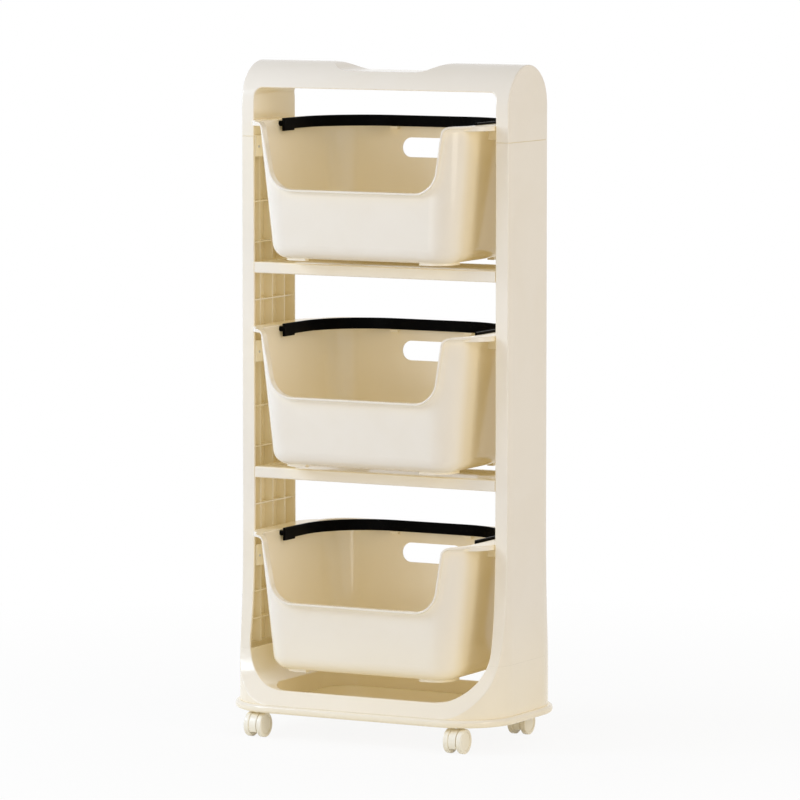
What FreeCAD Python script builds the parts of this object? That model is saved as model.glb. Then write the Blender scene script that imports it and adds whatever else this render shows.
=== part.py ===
import FreeCAD, Part
import math
import os

# A slim three-tier storage rack on casters: two ribbed uprights on a flared foot, a grip cap over them,
# two shelves between them, and three lift-out baskets with folding bails that hang on side rails.
# Millimetres, +Z up. The origin is on the floor, in the middle of the rack; the front faces -Y.

Vec = FreeCAD.Vector

# Frame in plan
body_width = 428.0
body_depth = 246.0
body_corner = 77.0
upright_depth = 120.0
flange_width = 21.0
skin = 3.0
crease_radius = 2.0
run_out = 20.0

# Foot and its flare
floor_clearance = 37.0
plate_thickness = 11.0
plate_overhang = 6.5
plate_edge_radius = 4.5
plate_skin = 4.0
plate_rim = 9.0
foot_height = 72.0
sill_height = 20.0
sill_corner = 72.0
sill_lip = 4.0
pocket_corner = 42.0
knee_height = 36.0
knee_inset = 26.5
flare_height = 282.0
flare_upper_pull = 150.0
flare_lower_pull = 45.0

# Cap
rim_above_seam = 24.0
cap_shoulder = 47.0
grip_bar_height = 37.5
window_corner = 12.0
window_edge = 1.5
recess_depth = 12.5
recess_floor_half = 52.0
recess_top_half = 102.0
recess_ease = 22.0

# Joints between the mouldings
spigot_length = 20.0
spigot_wall = 2.5
collar_height = 5.0
joint_fit = 0.3
seam_height = 0.8
seam_depth = 1.2

# Ribs inside the uprights
rib_thickness = 2.0
rib_recess = 4.0
rib_spacing = 35.0
rib_above_shelf = (27.0, 85.0)
rib_below_shelf = 39.5
rib_above_foot = (40.0, 79.0)

# Tiers and shelves
tier_count = 3
tier_pitch = 292.5
basket_floor_gap = 26.0
shelf_gap = 6.5
shelf_thickness = 16.0
shelf_fit = 0.4
shelf_edge_radius = 2.0
shelf_border = 11.0
shelf_recess = 4.0
shelf_skin = 3.0
shelf_rib_count = 5
tab_half_depth = 45.0
tab_thickness = 6.0
tab_reach = 5.0
tab_fit = 0.1

# Basket
basket_height = 192.5
basket_depth = 246.0
basket_wall = 3.2
basket_edge = 1.2
basket_side_draft = 17.7
basket_front_draft = 14.6
basket_corner_top = 43.0
basket_corner_bottom = 36.0
basket_bottom_radius = 22.0
basket_foot = 3.0
foot_band = 10.0
foot_edge_inset = 15.0
foot_span = 42.0
lip_clearance = 1.0
lip_width = 26.5
lip_half_length = 99.0
lip_thickness = 3.0
lip_drop = 7.0
lip_corner = 45.0
lip_edge = 1.8
flange_reach = 8.0
flange_thickness = 3.0
flange_blend = 6.0
scoop_depth = 93.5
scoop_floor_half = 97.0
scoop_corner = 35.0
scoop_lean = 10.0
scoop_top_radius = 12.0
slot_length = 97.0
slot_height = 28.0
slot_drop = 43.5

# Rails and the runners that hang on them
rail_height = 28.4
rail_wall = 2.5
rail_edge = 0.8
ledge_reach = 4.5
ledge_rise = 2.1
ledge_tip = 1.0
ledge_half_length = 44.0
runner_half_length = 25.0
runner_thickness = 3.0
runner_web = 2.5
runner_web_count = 3
runner_inset = 0.2
runner_lift = 0.3

# Bail
bail_height = 16.0
bail_thickness = 4.0
bail_edge = 0.8
bail_corner = 98.0
bail_side_gap = 6.0
bail_back_gap = 4.3
bail_rise = 2.5
ear_length = 30.0
ear_drop = 2.5
pivot_offset = 40.0
pivot_to_end = 4.0
pin_radius = 3.8
pin_fit = 0.08
pin_overrun = 1.0
rest_width = 12.0
rest_height = 4.0
rest_offset = 60.0

# Casters
caster_inset_x = 54.0
caster_inset_y = 24.5
caster_trail = 11.5
wheel_radius = 17.5
wheel_width = 8.0
wheel_edge_radius = 1.5
wheel_dish = 0.8
wheel_dish_margin = 4.5
wheel_cover = 2.0
wheel_gap = 0.7
hood_width = 11.0
hood_shrink = 0.4
hood_ground_gap = 8.0
hood_top_gap = 0.7
axle_radius = 2.0
axle_fit = 0.05
stem_radius = 3.5
stem_fit = 0.06
stem_foot = 17.0
stem_rise = 20.0
socket_wall = 3.5
socket_cap = 2.0
caster_pad = 16.0

# Screws that close the foot from below
screw_inset_x = 31.0
screw_offset_y = 30.0
screw_radius = 1.75
screw_length = 20.0
screw_head_radius = 4.0
screw_head_height = 2.5
screw_head_edge = 1.0
screw_tip_gap = 1.0
screw_boss_wall = 3.5
screw_fit = 0.05
screw_clearance = 0.45

# Working allowances: how far a cut runs past a face, and how close counts as the same place
overcut = 1.0
near = 0.01

# Levels and half sizes that follow from the values above
half_width = body_width / 2
half_depth = body_depth / 2
half_upright = upright_depth / 2
window_half = half_width - flange_width
plate_top = floor_clearance + plate_thickness
foot_seam = plate_top + foot_height
sill_z = plate_top + sill_height
first_rim = sill_z + basket_floor_gap + basket_foot + basket_height
rims = [first_rim + k * tier_pitch for k in range(tier_count)]
cap_seam = rims[-1] - rim_above_seam
arch_z = cap_seam + cap_shoulder
top_z = arch_z + half_upright
bar_under = top_z - grip_bar_height
shelf_tops = [rim - basket_height - basket_foot - shelf_gap for rim in rims[1:]]
rib_face = window_half + rib_recess
rail_drop = rim_above_seam + joint_fit
basket_half = window_half - lip_clearance - lip_width
basket_half_depth = basket_depth / 2
lip_out = basket_half + lip_width
bail_half = basket_half - basket_wall - bail_side_gap
bail_back = basket_half_depth - basket_wall - bail_back_gap
bail_drop = bail_height / 2 - bail_rise
caster_x = half_width - caster_inset_x
caster_y = half_depth - caster_inset_y
socket_radius = stem_radius + stem_fit + socket_wall
pocket_half = caster_x - socket_radius - skin - joint_fit
REACH = body_width + body_depth + top_z


def box(x0, x1, y0, y1, z0, z1):
    return Part.makeBox(x1 - x0, y1 - y0, z1 - z0, Vec(x0, y0, z0))


def cylinder(radius, start, direction, length):
    return Part.makeCylinder(radius, length, start, direction)


def level(shape, z0, z1):
    """The slab of a shape between two heights."""
    return shape.common(box(-REACH, REACH, -REACH, REACH, z0, z1))


def joined(shapes):
    """One clean solid from pieces that overlap."""
    whole = shapes[0].fuse(shapes[1:]) if len(shapes) > 1 else shapes[0]
    return whole.removeSplitter()


def mirrored(shape):
    return shape.mirror(Vec(0, 0, 0), Vec(1, 0, 0))


def line(a, b):
    return Part.LineSegment(a, b).toShape()


def corner_arc(centre, radius, start, turn, plane):
    """Arc by its centre, start angle and turn in degrees, placed by a function of two coordinates."""
    points = []
    for share in (0.0, 0.5, 1.0):
        angle = math.radians(start + turn * share)
        points.append(plane(centre[0] + radius * math.cos(angle), centre[1] + radius * math.sin(angle)))
    return Part.Arc(*points).toShape()


def closed_face(edges):
    return Part.Face(Part.Wire(Part.__sortEdges__(edges)))


def rounded_outline(half_x, half_y, radius, z):
    """Plan outline of a rounded rectangle at height z."""
    def plane(x, y):
        return Vec(x, y, z)
    ix = half_x - radius
    iy = half_y - radius
    edges = [corner_arc((ix, iy), radius, 0, 90, plane), line(plane(ix, half_y), plane(-ix, half_y)),
             corner_arc((-ix, iy), radius, 90, 90, plane), line(plane(-half_x, iy), plane(-half_x, -iy)),
             corner_arc((-ix, -iy), radius, 180, 90, plane), line(plane(-ix, -half_y), plane(ix, -half_y)),
             corner_arc((ix, -iy), radius, 270, 90, plane), line(plane(half_x, -iy), plane(half_x, iy))]
    return Part.Wire(edges)


def rounded_prism(half_x, half_y, radius, z0, z1):
    return Part.Face(rounded_outline(half_x, half_y, radius, z0)).extrude(Vec(0, 0, z1 - z0))


def side_profile(inset):
    """Side view of the frame: slanted foot, long concave flare, straight upright and round top."""
    def plane(y, z):
        return Vec(-REACH / 2, y, z)
    foot_y = half_depth - inset
    knee_y = foot_y - knee_inset
    knee_z = plate_top + knee_height
    upright_y = half_upright - inset
    flare_z = plate_top + flare_height
    slant = math.hypot(knee_inset, knee_height)
    pull_y = knee_y - flare_lower_pull * knee_inset / slant
    pull_z = knee_z + flare_lower_pull * knee_height / slant
    low_y = foot_y + knee_inset * run_out / knee_height
    low_z = plate_top - run_out
    edges = [line(plane(-low_y, low_z), plane(low_y, low_z)),
             corner_arc((0, arch_z), upright_y, 0, 180, plane)]
    for side in (-1, 1):
        flare = Part.BezierCurve()
        flare.setPoles([plane(side * knee_y, knee_z), plane(side * pull_y, pull_z),
                        plane(side * upright_y, flare_z - flare_upper_pull), plane(side * upright_y, flare_z)])
        edges += [line(plane(side * low_y, low_z), plane(side * knee_y, knee_z)), flare.toShape(),
                  line(plane(side * upright_y, flare_z), plane(side * upright_y, arch_z))]
    return closed_face(edges).extrude(Vec(REACH, 0, 0))


def envelope(inset):
    """Outer form of the whole frame, or the same form further in. It runs on below the foot."""
    plan = rounded_prism(half_width - inset, half_depth - inset, body_corner - inset,
                         plate_top - run_out, top_z)
    return plan.common(side_profile(inset))


def soft_envelope():
    """The outer form with the crease that runs round each side and over the top rounded over."""
    form = envelope(0)
    upright_crease = [e for e in form.Edges if e.BoundBox.DiagonalLength - e.BoundBox.ZLength < near
                      and abs(e.BoundBox.YMax - half_upright) < near and e.BoundBox.XMax > 0]
    return form.makeFillet(crease_radius, upright_crease)


def window(grow):
    """Opening through the frame from front to back, grown by a wall on every side."""
    half = window_half + grow
    low = sill_z - grow
    high = bar_under + grow
    low_r = sill_corner + grow
    high_r = window_corner + grow

    def plane(x, z):
        return Vec(x, -REACH / 2, z)
    edges = [line(plane(low_r - half, low), plane(half - low_r, low)),
             corner_arc((half - low_r, low + low_r), low_r, 270, 90, plane),
             line(plane(half, low + low_r), plane(half, high - high_r)),
             corner_arc((half - high_r, high - high_r), high_r, 0, 90, plane),
             line(plane(half - high_r, high), plane(high_r - half, high)),
             corner_arc((high_r - half, high - high_r), high_r, 90, 90, plane),
             line(plane(-half, high - high_r), plane(-half, low + low_r)),
             corner_arc((low_r - half, low + low_r), low_r, 180, 90, plane)]
    return closed_face(edges).extrude(Vec(0, REACH, 0))


def grip_recess(grow):
    """Saddle in the top of the cap, with eased ends, grown by a wall."""
    floor = top_z - recess_depth - grow
    edge = top_z + grow

    def plane(x, z):
        return Vec(x, -REACH / 2, z)
    edges = [line(plane(-recess_floor_half, floor), plane(recess_floor_half, floor)),
             line(plane(-recess_top_half, edge), plane(recess_top_half, edge))]
    for side in (-1, 1):
        foot_pull = recess_floor_half + recess_ease
        head_pull = recess_top_half - recess_ease
        ramp = Part.BezierCurve()
        ramp.setPoles([plane(side * recess_floor_half, floor), plane(side * foot_pull, floor),
                       plane(side * head_pull, edge), plane(side * recess_top_half, edge)])
        edges.append(ramp.toShape())
    return closed_face(edges).extrude(Vec(0, REACH, 0))


def foot_pocket(grow):
    """Rounded well in the middle of the foot, down to the base plate."""
    sill_y = half_depth - knee_inset * sill_height / knee_height
    half_y = sill_y - sill_lip + grow
    return rounded_prism(pocket_half + grow, half_y, pocket_corner + grow,
                         plate_top - skin, sill_z + sill_corner)


def top_cap():
    outer = level(BODY, cap_seam, top_z + overcut).cut(window(0)).cut(grip_recess(0))
    inner = level(HOLLOW, cap_seam - overcut, top_z).cut(window(skin)).cut(grip_recess(skin))
    bar_edges = [e for e in outer.Edges if e.BoundBox.XLength > window_half
                 and abs(e.BoundBox.ZMin - bar_under) < near and e.BoundBox.ZLength < near]
    groove = level(BODY.cut(envelope(seam_depth)), cap_seam, cap_seam + seam_height)
    return outer.makeFillet(window_edge, bar_edges).cut(inner).cut(groove)


def base_frame():
    outer = level(BODY, plate_top, foot_seam).cut(window(0)).cut(foot_pocket(0))
    sill_edges = [e for e in outer.Edges if e.BoundBox.XLength > pocket_half
                  and abs(e.BoundBox.ZMin - sill_z) < near and e.BoundBox.ZLength < near]
    outer = outer.makeFillet(window_edge, sill_edges)
    room = level(HOLLOW, plate_top - overcut, foot_seam + overcut).cut(window(skin)).cut(foot_pocket(skin))
    bosses = []
    bores = []
    for x, y in screw_places():
        height = foot_seam - plate_top - spigot_length - joint_fit
        post = cylinder(screw_radius + screw_fit + screw_boss_wall, Vec(x, y, plate_top), Vec(0, 0, 1), height)
        bosses.append(post.common(room))
        bores.append(cylinder(screw_radius + screw_fit, Vec(x, y, plate_top), Vec(0, 0, 1), screw_length))
    return joined([outer.cut(room)] + bosses).cut(Part.Compound(bores))


def spigot(seam, sign):
    """Channel that continues an upright past a seam, inside its neighbour, and its collar."""
    tongue = SPIGOT_OUTER.cut(SPIGOT_INNER)
    collar = RIB_LIMIT.cut(SPIGOT_INNER)
    end = seam + sign * spigot_length
    root = seam - sign * (collar_height + joint_fit)
    shoulder = seam - sign * joint_fit
    pieces = [level(tongue, min(end, root), max(end, root)),
              level(collar, min(shoulder, root), max(shoulder, root))]
    side = box(window_half + skin + joint_fit, REACH, -REACH, REACH, 0, REACH)
    return [piece.common(side) for piece in pieces]


def upright_ribs():
    """Rib grid inside an upright, set back from its flanges, with pockets for the shelf tabs."""
    low = foot_seam + collar_height
    high = cap_seam - collar_height
    levels = []
    for shelf in shelf_tops:
        levels += [shelf + rise for rise in rib_above_shelf] + [shelf - shelf_thickness - rib_below_shelf]
    levels += [foot_seam + rise for rise in rib_above_foot]
    slabs = [box(rib_face, REACH, -REACH, REACH, z - rib_thickness / 2, z + rib_thickness / 2) for z in levels]
    for k in (-1, 0, 1):
        y = k * rib_spacing
        slabs.append(box(rib_face, REACH, y - rib_thickness / 2, y + rib_thickness / 2, low, high))
    grid = joined(slabs).common(RIB_LIMIT)
    for shelf in shelf_tops:
        middle = shelf - shelf_thickness / 2
        room = tab_thickness / 2 + tab_fit
        grid = grid.cut(box(0, rib_face + tab_reach + joint_fit, -REACH, REACH, middle - room, middle + room))
    return grid


def right_side_panel():
    shell = level(BODY.cut(HOLLOW), foot_seam, cap_seam).common(box(0, REACH, -REACH, REACH, 0, REACH))
    shell = shell.cut(window(0))
    flange_edges = [e for e in shell.Edges if abs(e.BoundBox.XMax - window_half) < near
                    and e.BoundBox.DiagonalLength - e.BoundBox.ZLength < near
                    and abs(abs(e.CenterOfMass.y) - half_upright) < near]
    pieces = [shell.makeFillet(window_edge, flange_edges), upright_ribs()]
    pieces += spigot(cap_seam, 1) + spigot(foot_seam, -1)
    return joined(pieces)


def screw_places():
    return [(sx * (half_width - screw_inset_x), sy * screw_offset_y) for sx in (-1, 1) for sy in (-1, 1)]


def caster_places():
    places = {}
    for row, sy in (("front", -1), ("rear", 1)):
        for hand, sx in (("left", -1), ("right", 1)):
            places["caster_%s_%s" % (row, hand)] = (sx * caster_x, sy * caster_y)
    return places


def base_plate():
    """Floor of the foot: a round-edged tray, ribbed underneath, with pads for the casters and screws."""
    half_x = half_width + plate_overhang
    half_y = half_depth + plate_overhang
    corner = body_corner + plate_overhang
    slab = rounded_prism(half_x, half_y, corner, floor_clearance, plate_top)
    rims = [e for e in slab.Edges if e.BoundBox.ZLength < near]
    slab = slab.makeFillet(min(plate_edge_radius, plate_thickness / 2 - near), rims)
    under = rounded_prism(half_x - plate_rim, half_y - plate_rim, corner - plate_rim,
                          floor_clearance - overcut, plate_top - plate_skin)
    ribs = [box(-half_x, half_x, y - rib_thickness / 2, y + rib_thickness / 2, floor_clearance, plate_top)
            for y in (-half_upright, 0, half_upright)]
    ribs += [box(x - rib_thickness / 2, x + rib_thickness / 2, -half_y, half_y, floor_clearance, plate_top)
             for x in (-window_half / 2, 0, window_half / 2)]
    keep = under.common(joined(ribs))
    for x, y in caster_places().values():
        pad = cylinder(caster_pad, Vec(x, y, floor_clearance), Vec(0, 0, 1), plate_thickness)
        keep = keep.fuse(pad.common(under))
    plate = joined([slab.cut(under), keep])
    for x, y in caster_places().values():
        plate = plate.cut(cylinder(socket_radius, Vec(x, y, 0), Vec(0, 0, 1), plate_top + overcut))
    for x, y in screw_places():
        hole = screw_radius + screw_clearance
        well = screw_head_radius + screw_clearance
        plate = plate.cut(cylinder(hole, Vec(x, y, 0), Vec(0, 0, 1), plate_top + overcut))
        plate = plate.cut(cylinder(well, Vec(x, y, 0), Vec(0, 0, 1), plate_top - plate_skin))
    return plate


def base_screws():
    """Four pan-head screws, up through the plate into the foot."""
    screws = []
    seat = plate_top - plate_skin
    for x, y in screw_places():
        shank = cylinder(screw_radius, Vec(x, y, seat), Vec(0, 0, 1), plate_skin + screw_length - screw_tip_gap)
        head = cylinder(screw_head_radius, Vec(x, y, seat - screw_head_height), Vec(0, 0, 1), screw_head_height)
        rim = [e for e in head.Edges if e.Closed and e.BoundBox.ZMax < seat - near]
        screws.append(joined([shank, head.makeFillet(screw_head_edge, rim)]))
    return Part.Compound(screws)


def shelf(top):
    """Shallow tray between the uprights, hollow and ribbed below, with a tab at each end."""
    half_x = window_half - shelf_fit
    bottom = top - shelf_thickness
    slab = box(-half_x, half_x, -half_upright, half_upright, bottom, top)
    long_edges = [e for e in slab.Edges if e.BoundBox.XLength > half_x]
    slab = slab.makeFillet(shelf_edge_radius, long_edges)
    tray = rounded_prism(half_x - shelf_border, half_upright - shelf_border, shelf_border,
                         top - shelf_recess, top + overcut)
    under = box(shelf_skin - half_x, half_x - shelf_skin, shelf_skin - half_upright, half_upright - shelf_skin,
                bottom - overcut, top - shelf_recess - shelf_skin)
    ribs = []
    rib_half = half_upright - shelf_skin / 2
    for k in range(1, shelf_rib_count + 1):
        x = -half_x + 2 * half_x * k / (shelf_rib_count + 1)
        ribs.append(box(x - rib_thickness / 2, x + rib_thickness / 2, -rib_half, rib_half,
                        bottom + shelf_skin / 2, top - shelf_recess - shelf_skin / 2))
    middle = (top + bottom) / 2
    tabs = []
    for side in (-1, 1):
        ends = sorted((side * (half_x - shelf_skin / 2), side * (rib_face + tab_reach)))
        tabs.append(box(ends[0], ends[1], -tab_half_depth, tab_half_depth,
                        middle - tab_thickness / 2, middle + tab_thickness / 2))
    return joined([slab.cut(tray).cut(under)] + ribs + tabs)


def right_rail(rim):
    """Strip between an upright's flanges, against its ribs, with a raised ledge drawn back at its ends."""
    top = rim - rail_drop
    bottom = top - rail_height
    half_y = half_upright - skin - joint_fit
    back_y = half_y - spigot_wall - joint_fit
    face = window_half - joint_fit
    ledge = window_half - ledge_reach
    back = window_half + skin

    def prism(half_plan, z0, z1):
        corners = half_plan + [(x, -y) for x, y in reversed(half_plan)]
        outline = Part.makePolygon([Vec(x, y, z0) for x, y in corners + corners[:1]])
        return Part.Face(outline).extrude(Vec(0, 0, z1 - z0))
    front = [(face - ledge_tip, half_y), (ledge, ledge_half_length)]
    strip = prism([(rib_face, back_y), (back, back_y), (back, half_y)] + front, bottom, top)
    low_edge = [e for e in strip.Edges if e.BoundBox.ZMax < bottom + near and e.CenterOfMass.x < face]
    strip = strip.makeFillet(rail_edge, low_edge)
    near_y = rib_thickness / 2
    far_y = ledge_half_length - rail_wall
    for y0, y1 in ((-far_y, -near_y), (near_y, far_y)):
        strip = strip.cut(box(ledge + rail_wall, rib_face + overcut, y0, y1,
                              bottom + rail_wall, top - rail_wall))
    return joined([strip, prism([(face, half_y)] + front, top - rail_wall, top + ledge_rise)])


def tub(inset, z0, z1):
    """Tapered block with round corners between two heights, set in or out from the basket's wall."""
    def outline(z):
        fall = 1 - z / basket_height
        return rounded_outline(basket_half - basket_side_draft * fall - inset,
                               basket_half_depth - basket_front_draft * fall - inset,
                               basket_corner_top + (basket_corner_bottom - basket_corner_top) * fall - inset, z)
    return Part.makeLoft([outline(z0), outline(z1)], True, True)


def round_bottom(block, radius):
    low = [e for e in block.Edges if abs(e.BoundBox.ZMax - block.BoundBox.ZMin) < near]
    return block.makeFillet(radius, low)


def scoop(grow):
    """Cut that opens the front wall: flat floor, round corners, leaning sides that turn out over the rim."""
    low = basket_height - scoop_depth
    over = basket_height + basket_wall
    lean = math.radians(scoop_lean)
    corner = scoop_corner + grow
    turn = scoop_top_radius - grow
    corner_z = low + scoop_corner
    turn_z = basket_height - scoop_top_radius
    foot_x = scoop_floor_half + corner * math.cos(lean)
    foot_z = corner_z - corner * math.sin(lean)
    side_run = turn_z + scoop_top_radius * math.sin(lean) - corner_z + scoop_corner * math.sin(lean)
    turn_x = (scoop_floor_half + (scoop_corner + scoop_top_radius) * math.cos(lean) + side_run * math.tan(lean))
    head_x = turn_x - turn * math.cos(lean)
    head_z = turn_z + turn * math.sin(lean)

    def plane(x, z):
        return Vec(x, -basket_depth, z)
    edges = [line(plane(-scoop_floor_half, low - grow), plane(scoop_floor_half, low - grow)),
             line(plane(-turn_x, over), plane(turn_x, over))]
    for side in (-1, 1):
        edges += [corner_arc((side * scoop_floor_half, corner_z), corner, 270, side * (90 - scoop_lean), plane),
                  line(plane(side * foot_x, foot_z), plane(side * head_x, head_z)),
                  corner_arc((side * turn_x, turn_z), turn, 90, side * (90 - scoop_lean), plane),
                  line(plane(side * turn_x, basket_height - grow), plane(side * turn_x, over))]
    return closed_face(edges).extrude(Vec(0, basket_depth - basket_half_depth / 2, 0))


def rim_flange():
    """Narrow flange that stands out from the wall all along the rim and down round the scoop."""
    zone = tub(-flange_reach, 0, basket_height).cut(tub(basket_wall / 2, -overcut, basket_height + overcut))
    ring = level(zone, basket_height - flange_thickness, basket_height).cut(scoop(0))
    edging = zone.common(scoop(flange_thickness)).cut(scoop(0))
    return [ring, edging]


def flange_root(shell, wall):
    """Edges in which the flange round the scoop meets the front wall."""
    side = scoop(flange_thickness).Shells[0]
    found = []
    for edge in shell.Edges:
        middle = Part.Vertex(edge.valueAt((edge.FirstParameter + edge.LastParameter) / 2))
        if middle.Point.y < -basket_half_depth / 2:
            if max(middle.distToShape(wall)[0], middle.distToShape(side)[0]) < near:
                found.append(edge)
    return found


def hand_slot():
    """Stadium-shaped hand hold through the back wall."""
    radius = slot_height / 2
    centre_z = basket_height - slot_drop
    reach = slot_length / 2 - radius

    def plane(x, z):
        return Vec(x, basket_half_depth / 2, z + centre_z)
    edges = [line(plane(-reach, -radius), plane(reach, -radius)),
             corner_arc((reach, 0), radius, 270, 180, plane),
             line(plane(reach, radius), plane(-reach, radius)),
             corner_arc((-reach, 0), radius, 90, 180, plane)]
    return closed_face(edges).extrude(Vec(0, basket_half_depth, 0))


def side_lips():
    """Hemmed lip along both sides of the rim, drawn in to the wall at the four corners."""
    low = basket_height - lip_drop
    plate = rounded_prism(lip_out, lip_half_length, lip_corner, low, basket_height)
    top_edge = [e for e in plate.Edges if e.BoundBox.ZMin > basket_height - near]
    plate = plate.makeFillet(lip_edge, top_edge)
    under = rounded_prism(lip_out - lip_thickness, lip_half_length - lip_thickness, lip_corner - lip_thickness,
                          low - overcut, basket_height - lip_thickness)
    return plate.cut(under).cut(tub(basket_wall / 2, 0, basket_height + overcut))


def right_runner():
    """Webbed runner under the lip that stands on the rail."""
    foot = basket_height - rail_drop + ledge_rise + runner_lift
    outer = lip_out - runner_inset
    root = basket_half - basket_wall
    head = basket_height - lip_thickness / 2
    pieces = [box(root, outer, -runner_half_length, runner_half_length, foot, foot + runner_thickness)]
    for k in range(runner_web_count):
        y = (runner_half_length - runner_web / 2) * (2 * k / (runner_web_count - 1) - 1)
        pieces.append(box(root, outer, y - runner_web / 2, y + runner_web / 2, foot, head))
    return joined(pieces)


def basket_feet():
    """Low pads under the four corners."""
    half_x = basket_half - basket_side_draft - foot_edge_inset
    half_y = basket_half_depth - basket_front_draft - foot_edge_inset
    corner = basket_corner_bottom - foot_edge_inset / 2
    ring = rounded_prism(half_x, half_y, corner, -basket_foot, basket_wall)
    ring = ring.cut(rounded_prism(half_x - foot_band, half_y - foot_band, corner - foot_band, -REACH, REACH))
    ring = ring.cut(box(foot_span - half_x, half_x - foot_span, -REACH, REACH, -REACH, REACH))
    return ring.cut(box(-REACH, REACH, foot_span - half_y, half_y - foot_span, -REACH, REACH))


def bail_rests():
    """Two nubs on the back wall that the folded bail lies on."""
    top = basket_height - bail_drop - bail_height / 2 - runner_lift
    nubs = []
    for middle in (-rest_offset, rest_offset):
        nubs.append(box(middle - rest_width / 2, middle + rest_width / 2, bail_back - bail_thickness,
                        basket_half_depth - basket_wall / 2, top - rest_height, top))
    return nubs


def basket(rim):
    """Tub with its floor at z = 0 while it is shaped, then set at its rim height."""
    outer = round_bottom(tub(0, 0, basket_height), basket_bottom_radius)
    room = tub(basket_wall, basket_wall, basket_height + basket_wall)
    inner = round_bottom(room, basket_bottom_radius - basket_wall)
    shell = joined([outer.cut(inner).cut(scoop(0))] + rim_flange()).cut(hand_slot())
    shell = shell.makeFillet(flange_blend, flange_root(shell, outer.Shells[0]))
    back_edges = [e for e in shell.Edges if e.BoundBox.YLength < near and e.BoundBox.ZLength < near
                  and e.BoundBox.YMin > basket_half_depth / 2 and e.BoundBox.ZMin > basket_height - slot_drop]
    under = basket_height - flange_thickness
    rounded = [e for e in back_edges if e.BoundBox.YMin > basket_half_depth
               or abs(e.BoundBox.ZMin - under) > near]
    shell = shell.makeFillet(basket_edge, rounded)
    runner = right_runner().cut(inner)
    rests = [nub.common(outer) for nub in bail_rests()]
    whole = joined([shell, side_lips(), runner, mirrored(runner), basket_feet().cut(inner)] + rests)
    pivot_z = basket_height - bail_drop
    reach = basket_half + pin_overrun + joint_fit - bail_half
    for side in (-1, 1):
        start = Vec(side * bail_half, -pivot_offset, pivot_z)
        whole = whole.cut(cylinder(pin_radius + pin_fit, start, Vec(side, 0, 0), reach))
    return whole.translated(Vec(0, 0, rim - basket_height))


def bail(rim):
    """Flat band bent round the back of the basket, with a deeper ear and a pivot pin at each end."""
    pivot_z = rim - bail_drop
    low = pivot_z - bail_height / 2
    end = -pivot_offset - pivot_to_end

    def band(half, back, radius):
        def plane(x, y):
            return Vec(x, y, low)
        edges = [line(plane(half, end), plane(half, back - radius)),
                 corner_arc((half - radius, back - radius), radius, 0, 90, plane),
                 line(plane(half - radius, back), plane(radius - half, back)),
                 corner_arc((radius - half, back - radius), radius, 90, 90, plane),
                 line(plane(-half, back - radius), plane(-half, end)),
                 line(plane(-half, end), plane(half, end))]
        return closed_face(edges).extrude(Vec(0, 0, bail_height))
    outer = band(bail_half, bail_back, bail_corner)
    inner = band(bail_half - bail_thickness, bail_back - bail_thickness, bail_corner - bail_thickness)
    pieces = [outer.cut(inner)]
    pins = []
    for side in (-1, 1):
        x0, x1 = sorted((side * bail_half, side * (bail_half - bail_thickness)))
        pieces.append(box(x0, x1, end, end + ear_length, low - ear_drop, low + bail_height))
        root = Vec(side * (bail_half - bail_thickness / 2), -pivot_offset, pivot_z)
        pins.append(cylinder(pin_radius, root, Vec(side, 0, 0), basket_half + pin_overrun - abs(root.x)))
    strap = joined(pieces)
    return joined([strap.makeFillet(bail_edge, strap.Edges)] + pins)


def caster_pieces(name, x, y):
    """Twin-wheel swivel caster: socket in the plate, stem, hood, and two wheels fixed on one axle."""
    axle_y = y - caster_trail
    up = Vec(0, 0, 1)
    across = Vec(1, 0, 0)
    hood_half = hood_width / 2
    wheel_inner = hood_half + wheel_gap
    wheel_outer = wheel_inner + wheel_width
    hood_top = floor_clearance - hood_top_gap
    stem_top = floor_clearance + stem_rise
    socket = cylinder(socket_radius, Vec(x, y, floor_clearance), up, stem_rise + socket_cap)
    socket = socket.cut(cylinder(stem_radius + stem_fit, Vec(x, y, floor_clearance), up, stem_rise + stem_fit))
    stem = cylinder(stem_radius, Vec(x, y, stem_foot), up, stem_top - stem_foot)
    tip = [e for e in stem.Edges if e.Closed and e.BoundBox.ZMin > stem_top - near]
    stem = stem.makeChamfer(stem_radius / 3, tip)
    drum = cylinder(wheel_radius - hood_shrink, Vec(x - hood_half, axle_y, wheel_radius), across, hood_width)
    drum = level(drum, hood_ground_gap, hood_top)
    neck = cylinder(hood_half, Vec(x, y, hood_ground_gap), up, hood_top - hood_ground_gap)
    hood = joined([drum, neck]).cut(stem)
    hood = hood.cut(cylinder(axle_radius + axle_fit, Vec(x - hood_half, axle_y, wheel_radius), across,
                             hood_width))
    axle_half = wheel_outer - wheel_dish - wheel_cover
    axle = cylinder(axle_radius, Vec(x - axle_half, axle_y, wheel_radius), across, 2 * axle_half)
    pieces = {"socket": socket, "stem": stem, "hood": hood, "axle": axle}
    for hand, side in (("left", -1), ("right", 1)):
        outward = across * side
        inner_face = Vec(x + side * wheel_inner, axle_y, wheel_radius)
        dish_floor = Vec(x + side * (wheel_outer - wheel_dish), axle_y, wheel_radius)
        disc = cylinder(wheel_radius, inner_face, outward, wheel_width)
        disc = disc.makeFillet(wheel_edge_radius, [e for e in disc.Edges if e.Closed])
        dish = cylinder(wheel_radius - wheel_dish_margin, dish_floor, outward, wheel_width)
        bore = cylinder(axle_radius, inner_face, outward, axle_half - wheel_inner)
        pieces["wheel_" + hand] = disc.cut(dish).cut(bore)
    return {"%s_%s" % (name, piece): shape for piece, shape in pieces.items()}


BODY = soft_envelope()
HOLLOW = envelope(skin)
RIB_LIMIT = envelope(skin / 2)
SPIGOT_OUTER = envelope(skin + joint_fit)
SPIGOT_INNER = envelope(skin + joint_fit + spigot_wall)

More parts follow.
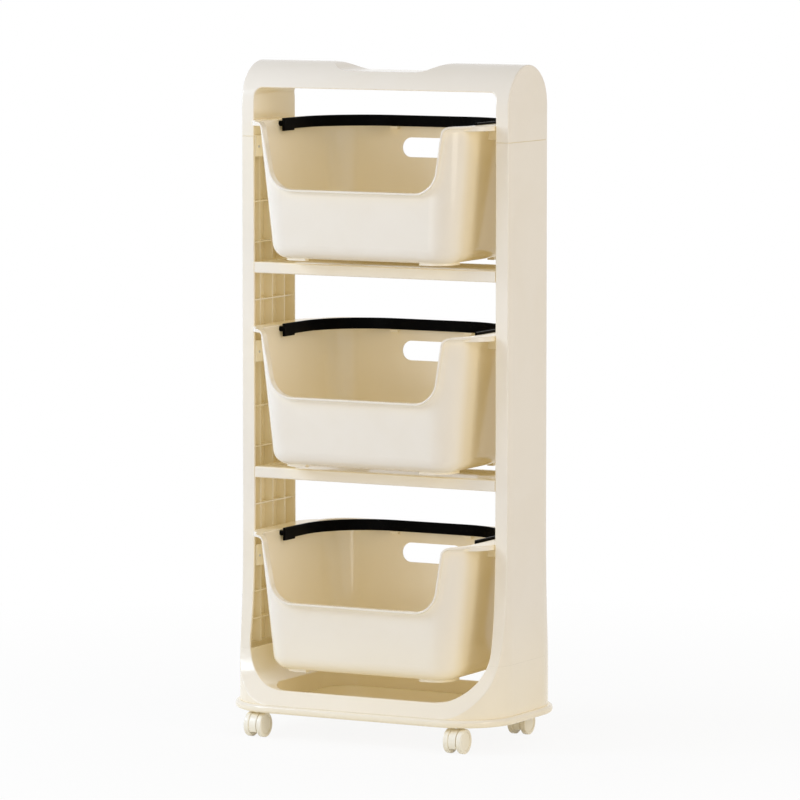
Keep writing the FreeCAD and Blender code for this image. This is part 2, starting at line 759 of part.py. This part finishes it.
panel = right_side_panel()
nodes = {"top_cap": top_cap(), "side_panel_right": panel, "side_panel_left": mirrored(panel),
         "base_frame": base_frame(), "base_plate": base_plate(), "base_screws": base_screws()}
for number, height in enumerate(reversed(shelf_tops), 1):
    nodes["shelf_%d" % number] = shelf(height)
for number, height in enumerate(reversed(rims), 1):
    rail = right_rail(height)
    nodes["rail_%d_right" % number] = rail
    nodes["rail_%d_left" % number] = mirrored(rail)
    nodes["basket_%d" % number] = basket(height)
    nodes["bail_%d" % number] = bail(height)
for place, (place_x, place_y) in caster_places().items():
    nodes.update(caster_pieces(place, place_x, place_y))

os.makedirs("parts", exist_ok=True)
for name, shape in nodes.items():
    shape.exportStep("parts/%s.step" % name)
    print(name, len(shape.Solids), "solid(s)", "valid" if shape.isValid() else "NOT VALID", round(shape.Volume))
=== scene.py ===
import math

import bmesh
import bpy
from mathutils import Euler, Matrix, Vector


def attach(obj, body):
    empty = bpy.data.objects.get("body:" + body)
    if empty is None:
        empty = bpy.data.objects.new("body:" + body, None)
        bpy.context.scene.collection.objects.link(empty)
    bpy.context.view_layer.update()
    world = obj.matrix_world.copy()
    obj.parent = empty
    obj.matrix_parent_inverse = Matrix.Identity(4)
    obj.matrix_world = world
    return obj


# Looks of a cream three-tier storage rack on casters. Metres, +Z up, front at -Y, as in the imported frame.

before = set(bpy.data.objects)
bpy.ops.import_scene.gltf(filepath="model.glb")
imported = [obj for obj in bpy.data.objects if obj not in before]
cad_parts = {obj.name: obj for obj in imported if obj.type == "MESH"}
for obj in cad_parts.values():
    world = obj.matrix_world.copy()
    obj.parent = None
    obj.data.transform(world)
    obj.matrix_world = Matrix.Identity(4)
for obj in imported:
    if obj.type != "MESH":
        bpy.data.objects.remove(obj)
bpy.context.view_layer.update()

# Camera, as read from the photograph
camera_place = (3.72369, -6.90560, 1.24878)
camera_yaw = math.radians(28.2688)
camera_pitch = math.radians(5.6063)
camera_lens = 250.13
camera_sensor = 36.0
camera_reach = 200.0

# Colours as linear values
cream = (0.915, 0.846, 0.755)
cream_flow = (0.900, 0.826, 0.725)
# Painted shade tone for the hollows of the cream plastics, and the painted glow they emit there though they are no
# lamp
cream_painted_shade = (0.90, 0.775, 0.45)
cream_painted_glow = (0.125, 0.097, 0.038)
caster_painted_glow = (0.06, 0.05, 0.03)
caster_cream = (0.97, 0.94, 0.88)
caster_flow = (0.95, 0.91, 0.84)
bail_black = (0.0008, 0.0008, 0.0008)
bail_flow = (0.0018, 0.0018, 0.0018)
socket_grey = (0.30, 0.29, 0.27)
socket_flow = (0.25, 0.24, 0.22)
plated_steel = (0.66, 0.65, 0.62)
steel_stain = (0.48, 0.46, 0.42)
floor_grey = (0.86, 0.85, 0.83)
studio_tone = (1.0, 0.97, 0.92)

# Skin of the plastics and of the plated steel
plastic_ior = 1.49
plastic_skin_size = 900.0
plastic_skin_depth = 0.00002
steel_skin_size = 2600.0
steel_skin_depth = 0.00001
edge_round = 0.0007

# Floor and studio light: the floor is plain white far from the rack and a little less near it
floor_reach = 40.0
floor_roughness = 0.8
floor_near = 0.3
floor_far = 1.5
floor_near_white = 0.90
studio_strength = 0.505

# Saddle in the top of the cap
saddle_across = (0.052, 0.074, 0.080, 0.102)    # pulls of a ramp's curve along X
saddle_height = (0.945, 0.945, 0.9575, 0.9575)  # the same pulls along Z
saddle_crown = 0.956                            # top of the middle of the cap's wall
saddle_crown_radius = 0.0585                    # radius of the middle of the cap's wall
saddle_start = 0.44                             # share of the ramp at which its skin starts
saddle_end = 0.76                               # share of the ramp at which its skin ends
saddle_lift = 0.00003
saddle_thickness = 0.0006

# Slanted ends of the rails, with their screws
basket_rims = (0.8745, 0.582, 0.2895)
rail_end_x = 0.1901
rail_end_y = 0.05035
rail_end_run = 0.0127                           # how far a slanted end runs along Y
rail_end_set = 0.0032                           # how far it goes back along X
screw_drop = 0.0385                             # from a basket's rim down to the screw
screw_radius = 0.0018


def feed(wire, entry, value):
    """Give a node's input its value, from another node's output or as a plain one."""
    if isinstance(value, bpy.types.NodeSocket):
        wire(value, entry)
    else:
        entry.default_value = value


def reckon(tree, wire, operation, first, second, clamp=False):
    """One sum with two values."""
    node = tree.new("ShaderNodeMath")
    node.operation = operation
    node.use_clamp = clamp
    feed(wire, node.inputs[0], first)
    feed(wire, node.inputs[1], second)
    return node.outputs["Value"]


def stretch(tree, wire, value, start=0.0, end=1.0, low=0.0, high=1.0):
    """Value that goes from low to high while the given one goes from start to end."""
    node = tree.new("ShaderNodeMapRange")
    for name, setting in (("Value", value), ("From Min", start), ("From Max", end), ("To Min", low), ("To Max", high)):
        feed(wire, node.inputs[name], setting)
    return node.outputs["Result"]


def colour_between(tree, wire, share, first, second):
    """Colour that lies between two others."""
    node = tree.new("ShaderNodeMix")
    node.data_type = "RGBA"
    for name, setting in (("Factor", share), ("A", first), ("B", second)):
        feed(wire, node.inputs[name], setting)
    return node.outputs["Result"]


def noise(tree, wire, place, scale, detail, distortion=0.0):
    """Cloudy value over the surface."""
    node = tree.new("ShaderNodeTexNoise")
    for name, setting in (("Vector", place), ("Scale", scale), ("Detail", detail), ("Distortion", distortion)):
        feed(wire, node.inputs[name], setting)
    return node.outputs["Fac"]


def socket(group, name, kind, direction, value=None):
    """Named input or output of a node group."""
    made = group.interface.new_socket(name=name, in_out=direction, socket_type="NodeSocket" + kind)
    if value is not None:
        made.default_value = value


def moulded_skin_group():
    """Moulded plastic: slow flow marks in the colour, patchy gloss and a fine skin texture."""
    group = bpy.data.node_groups.new("moulded_skin", "ShaderNodeTree")
    socket(group, "Colour", "Color", "INPUT", (0.8, 0.8, 0.8, 1))
    socket(group, "Flow Colour", "Color", "INPUT", (0.7, 0.7, 0.7, 1))
    socket(group, "Flow Size", "Float", "INPUT", 9.0)
    socket(group, "Gloss", "Float", "INPUT", 0.2)
    socket(group, "Gloss Spread", "Float", "INPUT", 0.06)
    socket(group, "Gloss Patch Size", "Float", "INPUT", 38.0)
    socket(group, "Skin Size", "Float", "INPUT", plastic_skin_size)
    socket(group, "Colour", "Color", "OUTPUT")
    socket(group, "Roughness", "Float", "OUTPUT")
    socket(group, "Height", "Float", "OUTPUT")
    tree = group.nodes
    wire = group.links.new
    enter = tree.new("NodeGroupInput").outputs
    leave = tree.new("NodeGroupOutput").inputs
    place = tree.new("ShaderNodeTexCoord").outputs["Object"]

    flow = noise(tree, wire, place, enter["Flow Size"], detail=3.0, distortion=0.8)
    flow_share = stretch(tree, wire, flow, start=0.42, end=0.72)
    wire(colour_between(tree, wire, flow_share, enter["Colour"], enter["Flow Colour"]), leave["Colour"])

    patches = noise(tree, wire, place, enter["Gloss Patch Size"], detail=4.0)
    dulled = reckon(tree, wire, "MULTIPLY", patches, enter["Gloss Spread"])
    wire(reckon(tree, wire, "ADD", enter["Gloss"], dulled), leave["Roughness"])

    wire(noise(tree, wire, place, enter["Skin Size"], detail=2.0), leave["Height"])
    return group


def painted_shade_and_glow_group():
    """Painted shade and painted glow: where ambient occlusion finds a surface sheltered, its colour is painted towards
    a warmer deep tone and it emits a faint glow though it is no lamp, standing in for light through thin cream walls
    and bouncing in hollows.
    """
    group = bpy.data.node_groups.new("painted_shade_and_glow", "ShaderNodeTree")
    socket(group, "Colour", "Color", "INPUT", (0.8, 0.8, 0.8, 1))
    socket(group, "Painted Shade Colour", "Color", "INPUT", (0.6, 0.5, 0.4, 1))
    socket(group, "Painted Glow Colour", "Color", "INPUT", (0.1, 0.07, 0.04, 1))
    socket(group, "Reach", "Float", "INPUT", 0.22)
    socket(group, "Amount", "Float", "INPUT", 0.5)
    socket(group, "Colour", "Color", "OUTPUT")
    socket(group, "Glow", "Color", "OUTPUT")
    tree = group.nodes
    wire = group.links.new
    enter = tree.new("NodeGroupInput").outputs
    leave = tree.new("NodeGroupOutput").inputs
    shelter = tree.new("ShaderNodeAmbientOcclusion")
    shelter.samples = 8
    wire(enter["Reach"], shelter.inputs["Distance"])
    in_the_open = shelter.outputs["AO"]
    hidden = reckon(tree, wire, "SUBTRACT", 1.0, in_the_open)

    # Painted shade: the colour turns towards the deep tone as ambient occlusion finds the surface more sheltered
    painted_shade_share = reckon(tree, wire, "MULTIPLY", hidden, enter["Amount"], clamp=True)
    wire(colour_between(tree, wire, painted_shade_share, enter["Colour"], enter["Painted Shade Colour"]), leave["Colour"])

    # Painted glow: sheltered surfaces emit a faint warm light
    reached = stretch(tree, wire, in_the_open, low=0.4, high=2.0)
    painted_glow_share = reckon(tree, wire, "MULTIPLY", hidden, reached, clamp=True)
    wire(colour_between(tree, wire, painted_glow_share, (0, 0, 0, 1), enter["Painted Glow Colour"]), leave["Glow"])
    return group


moulded_skin = moulded_skin_group()
painted_shade_and_glow = painted_shade_and_glow_group()


def plastic(name, colour, flow, gloss, spread, deep=None, glow=None, shine=0.5, skin_size=plastic_skin_size,
            skin_depth=plastic_skin_depth):
    """Glossy moulded plastic; the optional shade and glow colours are the painted shade tone and the painted glow it
    takes on in a hollow.
    """
    material = bpy.data.materials.new(name)
    material.use_nodes = True
    tree = material.node_tree.nodes
    wire = material.node_tree.links.new
    shader = tree["Principled BSDF"]
    shader.inputs["IOR"].default_value = plastic_ior
    shader.inputs["Specular IOR Level"].default_value = shine
    skin = tree.new("ShaderNodeGroup")
    skin.node_tree = moulded_skin
    skin.inputs["Colour"].default_value = (*colour, 1)
    skin.inputs["Flow Colour"].default_value = (*flow, 1)
    skin.inputs["Gloss"].default_value = gloss
    skin.inputs["Gloss Spread"].default_value = spread
    skin.inputs["Skin Size"].default_value = skin_size
    paint = skin.outputs["Colour"]
    # Painted shade and painted glow in hollows, found by ambient occlusion
    if deep:
        painted_shade_node = tree.new("ShaderNodeGroup")
        painted_shade_node.node_tree = painted_shade_and_glow
        painted_shade_node.inputs["Painted Shade Colour"].default_value = (*deep, 1)
        painted_shade_node.inputs["Painted Glow Colour"].default_value = (*glow, 1)
        wire(paint, painted_shade_node.inputs["Colour"])
        wire(painted_shade_node.outputs["Glow"], shader.inputs["Emission Color"])
        shader.inputs["Emission Strength"].default_value = 1.0
        paint = painted_shade_node.outputs["Colour"]
    wire(paint, shader.inputs["Base Color"])
    wire(skin.outputs["Roughness"], shader.inputs["Roughness"])
    edge = tree.new("ShaderNodeBevel")
    edge.samples = 4
    edge.inputs["Radius"].default_value = edge_round
    relief = tree.new("ShaderNodeBump")
    relief.inputs["Distance"].default_value = skin_depth
    wire(skin.outputs["Height"], relief.inputs["Height"])
    wire(edge.outputs["Normal"], relief.inputs["Normal"])
    wire(relief.outputs["Normal"], shader.inputs["Normal"])
    return material


def plated(name, colour, stain, gloss, spread):
    """Plated steel with faint stains and uneven polish."""
    material = plastic(name, colour, stain, gloss, spread, skin_size=steel_skin_size, skin_depth=steel_skin_depth)
    material.node_tree.nodes["Principled BSDF"].inputs["Metallic"].default_value = 1.0
    return material


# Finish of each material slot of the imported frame
finishes = {
    # The cream plastics carry painted shade and a painted glow in their hollows
    "frame_plastic": plastic("cream_frame", cream, cream_flow, gloss=0.09, spread=0.07, deep=cream_painted_shade,
                             glow=cream_painted_glow),
    "basket_plastic": plastic("cream_basket", cream, cream_flow, gloss=0.08, spread=0.06, deep=cream_painted_shade,
                              glow=cream_painted_glow),
    "caster_plastic": plastic("cream_caster", caster_cream, caster_flow, gloss=0.22, spread=0.08, deep=cream_painted_shade,
                              glow=caster_painted_glow),
    "bail_plastic": plastic("black_bail", bail_black, bail_flow, gloss=0.30, spread=0.10, shine=0.03),
    "socket_plastic": plastic("grey_socket", socket_grey, socket_flow, gloss=0.35, spread=0.15),
    "steel": plated("plated_steel", plated_steel, steel_stain, gloss=0.24, spread=0.18),
}


def dress_frame():
    """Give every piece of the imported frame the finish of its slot."""
    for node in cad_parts.values():
        for place in node.material_slots:
            place.material = finishes[place.material.name.split(".")[0]]


def frame_piece(name, mesh, slot):
    """New small piece with the finish of a slot."""
    piece = bpy.data.objects.new(name, mesh)
    bpy.context.scene.collection.objects.link(piece)
    if not mesh.materials:
        mesh.materials.append(finishes[slot])
    return piece


def closed_mesh(name, points, faces, crease):
    """Closed mesh with its faces turned outwards, smooth up to the crease angle in degrees."""
    mesh = bpy.data.meshes.new(name)
    mesh.from_pydata(points, [], faces)
    shape = bmesh.new()
    shape.from_mesh(mesh)
    bmesh.ops.recalc_face_normals(shape, faces=shape.faces)
    shape.to_mesh(mesh)
    shape.free()
    mesh.shade_smooth()
    mesh.set_sharp_from_angle(angle=math.radians(crease))
    return mesh


def saddle_skin(name, side):
    """Skin that closes the cap where a ramp of its saddle runs into the hollow, flush with the ramp."""
    rows, columns = 12, 16
    points = []
    for layer in (saddle_lift, saddle_lift - saddle_thickness):
        for row in range(rows + 1):
            t = saddle_start + (saddle_end - saddle_start) * row / rows
            shares = ((1 - t) ** 3, 3 * t * (1 - t) ** 2, 3 * t * t * (1 - t), t ** 3)
            x = sum(share * pull for share, pull in zip(shares, saddle_across))
            z = sum(share * pull for share, pull in zip(shares, saddle_height))
            below = saddle_crown - z
            half = math.sqrt(below * (2 * saddle_crown_radius - below))
            for column in range(columns + 1):
                points.append((side * x, half * (2 * column / columns - 1), z + layer))
    wide = columns + 1
    lower = wide * (rows + 1)
    faces = []
    for row in range(rows):
        for column in range(columns):
            a = row * wide + column
            faces.append((a, a + 1, a + wide + 1, a + wide))
            faces.append((a + lower, a + lower + 1, a + lower + wide + 1, a + lower + wide))
    rim = [column for column in range(columns)] + [row * wide + columns for row in range(rows)]
    rim += [rows * wide + column for column in range(columns, 0, -1)] + [row * wide for row in range(rows, 0, -1)]
    for here, after in zip(rim, rim[1:] + rim[:1]):
        faces.append((here, after, after + lower, here + lower))
    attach(frame_piece(name, closed_mesh(name, points, faces, crease=35), "frame_plastic"), "frame")


def screw_head_mesh():
    """Domed screw head with a cross recess, on the plane z = 0 and looking along +Z."""
    # Reach and height of the dome's rings, and the recess, all as shares of the screw's radius
    profile = ((1.0, -0.15), (0.97, 0.18), (0.85, 0.34), (0.68, 0.42), (0.60, 0.45), (0.44, 0.48), (0.28, 0.49),
               (0.12, 0.50))
    recess_reach, recess_half_width, recess_depth = 0.65, 0.13, 0.5
    segments = 48
    points = []
    for reach, height in profile:
        for step in range(segments):
            turn = 2 * math.pi * step / segments
            x, y = reach * math.cos(turn), reach * math.sin(turn)
            in_recess = reach < recess_reach and min(abs(x), abs(y)) < recess_half_width
            z = height - (recess_depth if in_recess else 0.0)
            points.append((screw_radius * x, screw_radius * y, screw_radius * z))
    points.append((0, 0, 0))
    faces = [tuple(range(segments))]
    for ring in range(len(profile) - 1):
        for step in range(segments):
            a = ring * segments + step
            b = ring * segments + (step + 1) % segments
            faces.append((a, b, b + segments, a + segments))
    inner = (len(profile) - 1) * segments
    faces += [(inner + step, inner + (step + 1) % segments, len(points) - 1) for step in range(segments)]
    return closed_mesh("rail_screw_head", points, faces, crease=40)


def rail_screws():
    """A screw on both slanted ends of each rail, which hold it to its upright."""
    mesh = screw_head_mesh()
    for tier, rim in enumerate(basket_rims, 1):
        for side_name, side in (("left", -1), ("right", 1)):
            for end_name, end in (("front", -1), ("rear", 1)):
                piece = frame_piece("rail_%d_%s_%s_screw" % (tier, side_name, end_name), mesh, "steel")
                piece.location = (side * rail_end_x, end * rail_end_y, rim - screw_drop)
                looking = Vector((-side * rail_end_run, end * rail_end_set, 0))
                piece.rotation_euler = looking.to_track_quat("Z", "Y").to_euler()
                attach(piece, "frame")


def background_seen(tree, wire):
    """Mask that is 1 where the camera, a reflection or a clear piece looks at the background."""
    path = tree.new("ShaderNodeLightPath").outputs
    seen = path["Is Camera Ray"]
    for ray in ("Is Glossy Ray", "Is Transmission Ray"):
        seen = reckon(tree, wire, "MAXIMUM", seen, path[ray])
    return seen


def floor():
    """Pale floor that reads white to the camera and in reflections, and keeps a faint shadow."""
    mesh = bpy.data.meshes.new("floor")
    corners = [(floor_reach * x, floor_reach * y, 0) for x, y in ((-1, -1), (1, -1), (1, 1), (-1, 1))]
    mesh.from_pydata(corners, [], [(0, 1, 2, 3)])
    sheet = bpy.data.objects.new("floor", mesh)
    bpy.context.scene.collection.objects.link(sheet)
    material = bpy.data.materials.new("pale_floor")
    material.use_nodes = True
    tree = material.node_tree.nodes
    wire = material.node_tree.links.new
    shader = tree["Principled BSDF"]
    shader.inputs["Base Color"].default_value = (*floor_grey, 1)
    shader.inputs["Roughness"].default_value = floor_roughness
    white = tree.new("ShaderNodeEmission")
    away = tree.new("ShaderNodeVectorMath")
    away.operation = "LENGTH"
    wire(tree.new("ShaderNodeNewGeometry").outputs["Position"], away.inputs[0])
    share = stretch(tree, wire, away.outputs["Value"], start=floor_near, end=floor_far, low=floor_near_white)
    blend = tree.new("ShaderNodeMixShader")
    wire(reckon(tree, wire, "MULTIPLY", background_seen(tree, wire), share), blend.inputs["Fac"])
    wire(shader.outputs["BSDF"], blend.inputs[1])
    wire(white.outputs["Emission"], blend.inputs[2])
    wire(blend.outputs["Shader"], tree["Material Output"].inputs["Surface"])
    mesh.materials.append(material)


def studio_world():
    """White to the camera and in reflections, plain soft light on the object."""
    world = bpy.data.worlds.new("studio")
    bpy.context.scene.world = world
    world.use_nodes = True
    tree = world.node_tree.nodes
    wire = world.node_tree.links.new
    soft = tree["Background"]
    soft.inputs["Color"].default_value = (*studio_tone, 1)
    soft.inputs["Strength"].default_value = studio_strength
    white = tree.new("ShaderNodeBackground")
    white.inputs["Color"].default_value = (1, 1, 1, 1)
    white.inputs["Strength"].default_value = 1.0
    blend = tree.new("ShaderNodeMixShader")
    wire(background_seen(tree, wire), blend.inputs["Fac"])
    wire(soft.outputs["Background"], blend.inputs[1])
    wire(white.outputs["Background"], blend.inputs[2])
    wire(blend.outputs["Shader"], tree["World Output"].inputs["Surface"])


def softbox(name, place, aim, width, height, watts, colour):
    """Rectangular lamp that looks at a point of the rack."""
    data = bpy.data.lights.new(name, "AREA")
    data.shape = "RECTANGLE"
    data.size = width
    data.size_y = height
    data.energy = watts
    data.color = colour
    lamp = bpy.data.objects.new(name, data)
    lamp.location = place
    lamp.rotation_euler = (Vector(aim) - Vector(place)).to_track_quat("-Z", "Y").to_euler()
    bpy.context.scene.collection.objects.link(lamp)


def photo_camera():
    """Camera that sees the rack as the photograph does."""
    data = bpy.data.cameras.new("photo_camera")
    data.lens = camera_lens
    data.sensor_width = camera_sensor
    data.clip_end = camera_reach
    camera = bpy.data.objects.new("photo_camera", data)
    camera.location = camera_place
    camera.rotation_euler = Euler((math.pi / 2 - camera_pitch, 0, camera_yaw))
    bpy.context.scene.collection.objects.link(camera)
    bpy.context.scene.camera = camera


# The rack
dress_frame()
saddle_skin("saddle_skin_left", -1)
saddle_skin("saddle_skin_right", 1)
rail_screws()

# The studio round it
floor()
studio_world()
softbox("front_softbox", place=(-1.6, -1.2, 1.37), aim=(0, 0, 0.65), width=1.0, height=0.9, watts=24,
        colour=(0.69, 0.82, 1.0))
softbox("right_softbox", place=(2.5, -0.75, 1.0), aim=(0, 0, 0.5), width=1.0, height=1.8, watts=16,
        colour=(1.0, 0.93, 0.78))
softbox("low_softbox", place=(-0.4, -3.2, 0.3), aim=(0, 0, 0.5), width=1.8, height=0.5, watts=6,
        colour=(1.0, 0.97, 0.94))
softbox("top_softbox", place=(0.2, -0.4, 2.9), aim=(0, 0, 0.5), width=1.6, height=1.2, watts=1.5,
        colour=(0.95, 0.98, 1.0))
photo_camera()
bpy.context.scene.view_settings.view_transform = "Standard"
